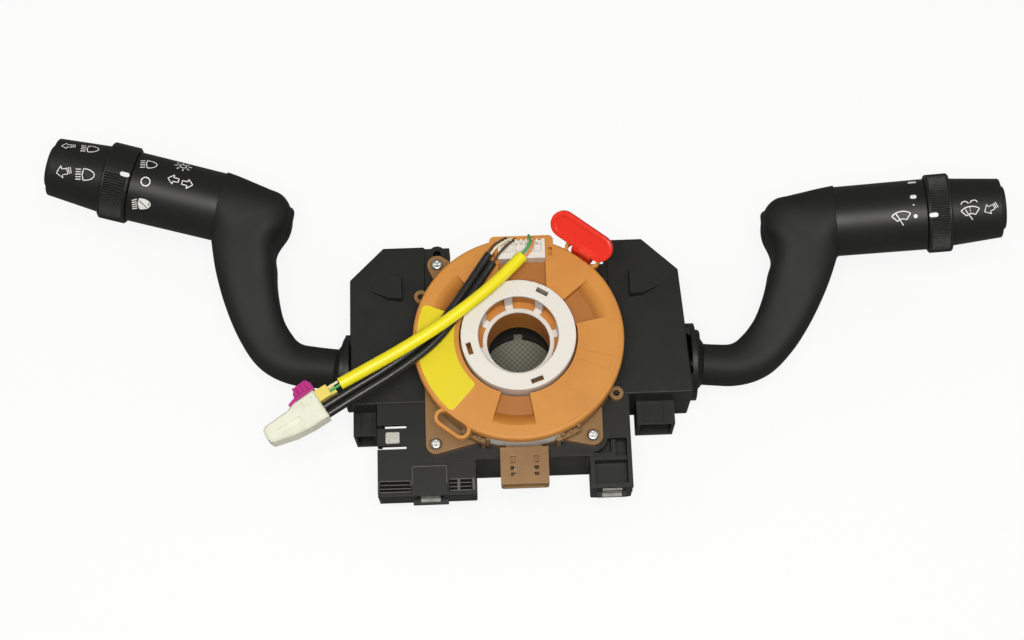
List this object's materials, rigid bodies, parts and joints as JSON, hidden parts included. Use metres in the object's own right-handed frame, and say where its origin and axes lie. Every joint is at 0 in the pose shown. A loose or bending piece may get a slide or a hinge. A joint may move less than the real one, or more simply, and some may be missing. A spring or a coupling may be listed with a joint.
{
  "type": "combination stalk switch",
  "caption": "Steering column switch with a turning clock spring in the middle, swan-neck stalks on both sides, a pull-out lock tab and a sleeved lead.",
  "frame": {"origin": "on the steering column axis, in the rear face of the carrier", "axes": "+Z along the column axis towards the driver, +Y up, +X to the driver's right hand"},
  "size_m": [0.4843, 0.1895, 0.0764],
  "materials": {
    "black_plastic": "moulded satin",
    "black_tubing": "satin",
    "brown_insulation": "satin",
    "brown_plastic": "slightly translucent satin",
    "circuit_board": "solder mask",
    "green_insulation": "satin",
    "magenta_plastic": "satin",
    "milky_plastic": "milky satin",
    "natural_acetal": "satin",
    "orange_plastic": "moulded satin",
    "pale_insulation": "satin",
    "red_plastic": "gloss",
    "ribbon_film": "film",
    "soft_black": "fine grain satin",
    "tinned_brass": "tinned",
    "white_plastic": "satin",
    "yellow_plastic": "satin",
    "yellow_tubing": "satin",
    "zinc_steel": "zinc plated"
  },
  "bodies": {
    "housing": {"cam_well": "black_plastic", "cancel_pawl": "natural_acetal", "carrier_frame": "black_plastic", "ear_screws": "zinc_steel", "left_circuit_board": "circuit_board", "left_connector_socket": "black_plastic", "left_detent_block": "natural_acetal", "left_snout": "soft_black", "left_switch_case": "black_plastic", "left_switch_cover": "black_plastic", "lower_brackets": "black_plastic", "ribbon_cable": "ribbon_film", "right_circuit_board": "circuit_board", "right_connector_socket": "black_plastic", "right_detent_block": "natural_acetal", "right_snout": "soft_black", "right_switch_case": "black_plastic", "right_switch_cover": "black_plastic", "spring_clips": "zinc_steel", "stator_case": "brown_plastic", "stator_connector": "brown_plastic", "terminals": "tinned_brass"},
    "rotor": {"rotor_cover": "orange_plastic", "rotor_sleeve": "brown_plastic", "centre_collar": "white_plastic", "header_connector": "white_plastic", "cancel_cam": "natural_acetal", "yellow_sleeve": "yellow_tubing", "black_sleeve_a": "black_tubing", "black_sleeve_b": "black_tubing", "airbag_plug": "milky_plastic", "plug_lock": "magenta_plastic", "plug_insert": "yellow_plastic", "brown_leads": "brown_insulation", "green_leads": "green_insulation", "pale_leads": "pale_insulation"},
    "lock_tab": {"lock_tab": "red_plastic"},
    "left_swing": {"left_gimbal": "natural_acetal"},
    "left_lever": {"left_lever_core": "black_plastic", "left_pivot_pin": "zinc_steel", "left_detent_plunger": "zinc_steel", "left_detent_spring": "zinc_steel", "left_lever_arm": "soft_black", "left_elbow_cap": "soft_black", "left_barrel": "soft_black", "left_end_cap": "soft_black", "left_end_plug": "soft_black"},
    "left_ring": {"left_ring": "soft_black"},
    "right_swing": {"right_gimbal": "natural_acetal"},
    "right_lever": {"right_lever_core": "black_plastic", "right_pivot_pin": "zinc_steel", "right_detent_plunger": "zinc_steel", "right_detent_spring": "zinc_steel", "right_lever_arm": "soft_black", "right_elbow_cap": "soft_black", "right_barrel": "soft_black", "right_end_cap": "soft_black"},
    "right_ring": {"right_ring": "soft_black"},
    "right_button": {"right_push_button": "soft_black"}
  },
  "joints": [
    {"name": "clock_spring_turn", "type": "hinge", "parent": "housing", "child": "rotor", "pos_m": [0, 0, 0], "axis": [0, 0, 1], "range_deg": [-900, 900]},
    {"name": "lock_tab_pull", "type": "slide", "parent": "rotor", "child": "lock_tab", "axis": [0, 0, 1], "range_m": [0, 0.02]},
    {"name": "left_stalk_swing", "type": "hinge", "parent": "housing", "child": "left_swing", "pos_m": [-0.0768, -0.0037, 0.024], "axis": [0, 0, 1], "range_deg": [-7, 7]},
    {"name": "left_stalk_tilt", "type": "hinge", "parent": "left_swing", "child": "left_lever", "pos_m": [-0.0768, -0.0037, 0.024], "axis": [0.1478, 0.989, 0], "range_deg": [-5, 5]},
    {"name": "left_ring_turn", "type": "hinge", "parent": "left_lever", "child": "left_ring", "pos_m": [-0.13554, 0.07818, 0.0416], "axis": [-0.9604, 0.2306, 0.1564], "range_deg": [-25, 25]},
    {"name": "right_stalk_swing", "type": "hinge", "parent": "housing", "child": "right_swing", "pos_m": [0.0769, -0.0037, 0.024], "axis": [0, 0, 1], "range_deg": [-7, 7]},
    {"name": "right_stalk_tilt", "type": "hinge", "parent": "right_swing", "child": "right_lever", "pos_m": [0.0769, -0.0037, 0.024], "axis": [-0.0958, -0.9954, 0], "range_deg": [0, 5], "stiffness_Nm_per_rad": 8},
    {"name": "right_ring_turn", "type": "hinge", "parent": "right_lever", "child": "right_ring", "pos_m": [0.14813, 0.06208, 0.0416], "axis": [0.9877, -0.0086, 0.1564], "range_deg": [-30, 30]},
    {"name": "right_button_push", "type": "slide", "parent": "right_lever", "child": "right_button", "axis": [-0.9877, 0.0086, -0.1564], "range_m": [0, 0.0015], "stiffness_N_per_m": 900}
  ]
}
